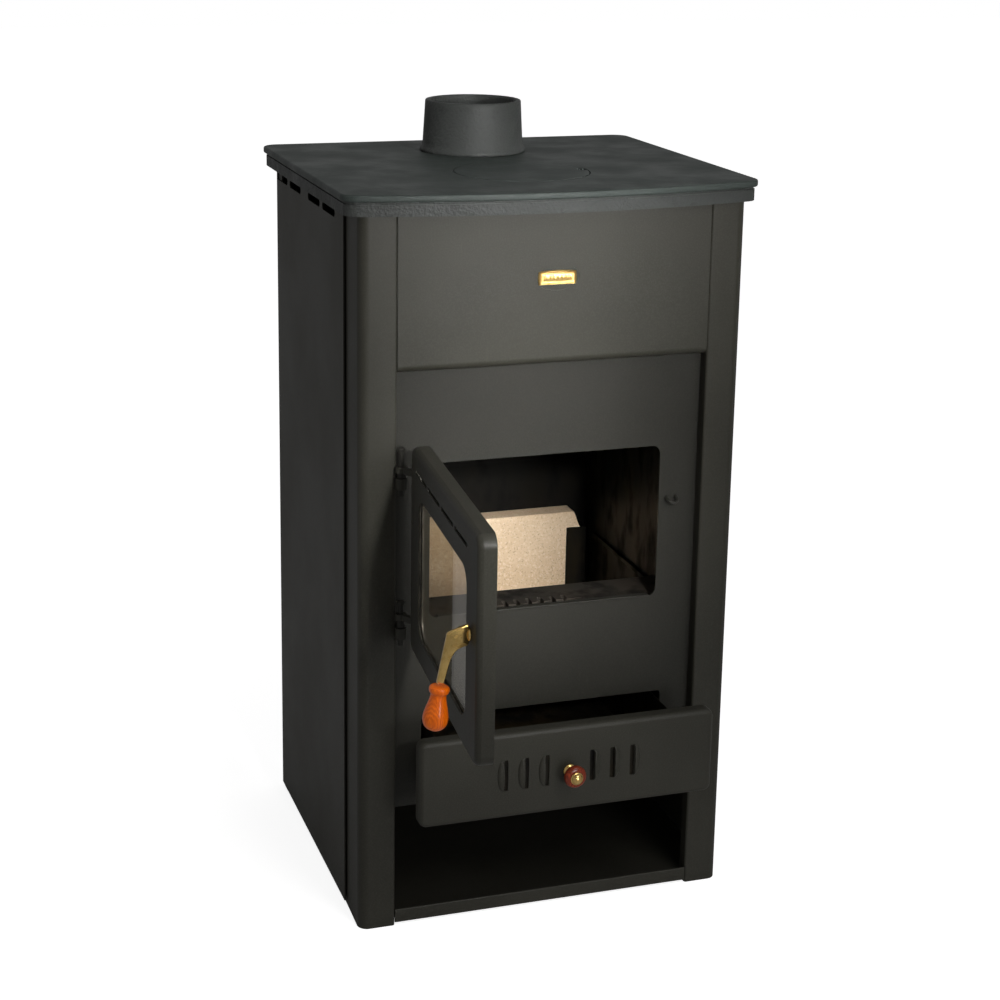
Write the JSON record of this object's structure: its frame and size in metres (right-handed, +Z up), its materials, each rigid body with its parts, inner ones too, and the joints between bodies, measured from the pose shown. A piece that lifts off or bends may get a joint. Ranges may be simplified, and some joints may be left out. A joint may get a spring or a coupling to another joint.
{
  "type": "wood burning stove",
  "caption": "Free-standing wood stove with a glazed side-hinged fire door, pull-out ash drawer, cast cooking top with a lift-out lid, flue spigot and open log store.",
  "frame": {"origin": "on the floor, under the middle of the box round the whole stove with its door and drawer open", "axes": "+Z up; the stove's front faces -Y; +X to the viewer's right when facing the front"},
  "size_m": [0.5002, 0.7854, 0.941],
  "materials": {
    "casing_paint": "satin",
    "fire_plate": "satin",
    "bare_steel": "matte",
    "cast_iron": "matte",
    "firebrick": "matte",
    "brass": "polished",
    "grip_wood": "gloss",
    "knob_wood": "gloss",
    "door_glass": "clear",
    "seal": "matte"
  },
  "bodies": {
    "stove": {"base_tray": "casing_paint", "front_post_left": "casing_paint", "front_post_right": "casing_paint", "rear_post_left": "casing_paint", "rear_post_right": "casing_paint", "side_panel_left": "casing_paint", "side_panel_right": "casing_paint", "rear_panel": "casing_paint", "upper_front_panel": "casing_paint", "stove_hinge_lug_upper": "casing_paint", "stove_hinge_lug_lower": "casing_paint", "firebox_front_plate": "fire_plate", "hearth_lip": "fire_plate", "log_store_ceiling": "fire_plate", "firebox_wall_left": "bare_steel", "firebox_wall_right": "bare_steel", "firebox_wall_rear": "bare_steel", "firebox_floor": "bare_steel", "brick_retainer_left": "bare_steel", "brick_retainer_right": "bare_steel", "wall_bar_left": "bare_steel", "wall_bar_right": "bare_steel", "baffle_ledge_left": "bare_steel", "baffle_ledge_right": "bare_steel", "baffle_plate": "bare_steel", "striker": "bare_steel", "hinge_pin_upper": "bare_steel", "hinge_pin_lower": "bare_steel", "ash_guide_left": "bare_steel", "ash_guide_right": "bare_steel", "top_plate": "cast_iron", "flue_collar": "cast_iron", "grate": "cast_iron", "ember_guard": "cast_iron", "firebrick_rear": "firebrick", "badge": "brass"},
    "fire_door": {"door_pan": "casing_paint", "glass_seal": "seal", "door_glass": "door_glass", "glass_retainer": "bare_steel", "retainer_screw_1": "bare_steel", "retainer_screw_2": "bare_steel", "retainer_screw_3": "bare_steel", "retainer_screw_4": "bare_steel", "door_hinge_lug_upper": "casing_paint", "door_hinge_lug_lower": "casing_paint"},
    "door_handle": {"handle_lever": "brass", "handle_grip": "grip_wood", "handle_spindle": "bare_steel", "latch_tongue": "bare_steel"},
    "ash_drawer": {"ash_drawer_front": "casing_paint", "ash_drawer_box": "bare_steel", "knob_base": "brass", "knob_ring": "knob_wood", "knob_cap": "brass"},
    "hotplate_lid": {"hotplate_lid": "cast_iron"}
  },
  "joints": [
    {"name": "door_swing", "type": "hinge", "parent": "stove", "child": "fire_door", "pos_m": [-0.18219, -0.04233, 0.48], "axis": [0, 0, 1], "range_deg": [-40, 94.7]},
    {"name": "handle_turn", "type": "hinge", "parent": "fire_door", "child": "door_handle", "pos_m": [-0.2031, -0.3637, 0.496], "axis": [-0.9966, 0.0819, 0], "range_deg": [-60, 22]},
    {"name": "ash_drawer_slide", "type": "slide", "parent": "stove", "child": "ash_drawer", "axis": [0, -1, 0], "range_m": [-0.077, 0.2]},
    {"name": "lid_lift", "type": "slide", "parent": "stove", "child": "hotplate_lid", "axis": [0, 0, 1], "range_m": [0, 0.06]}
  ]
}
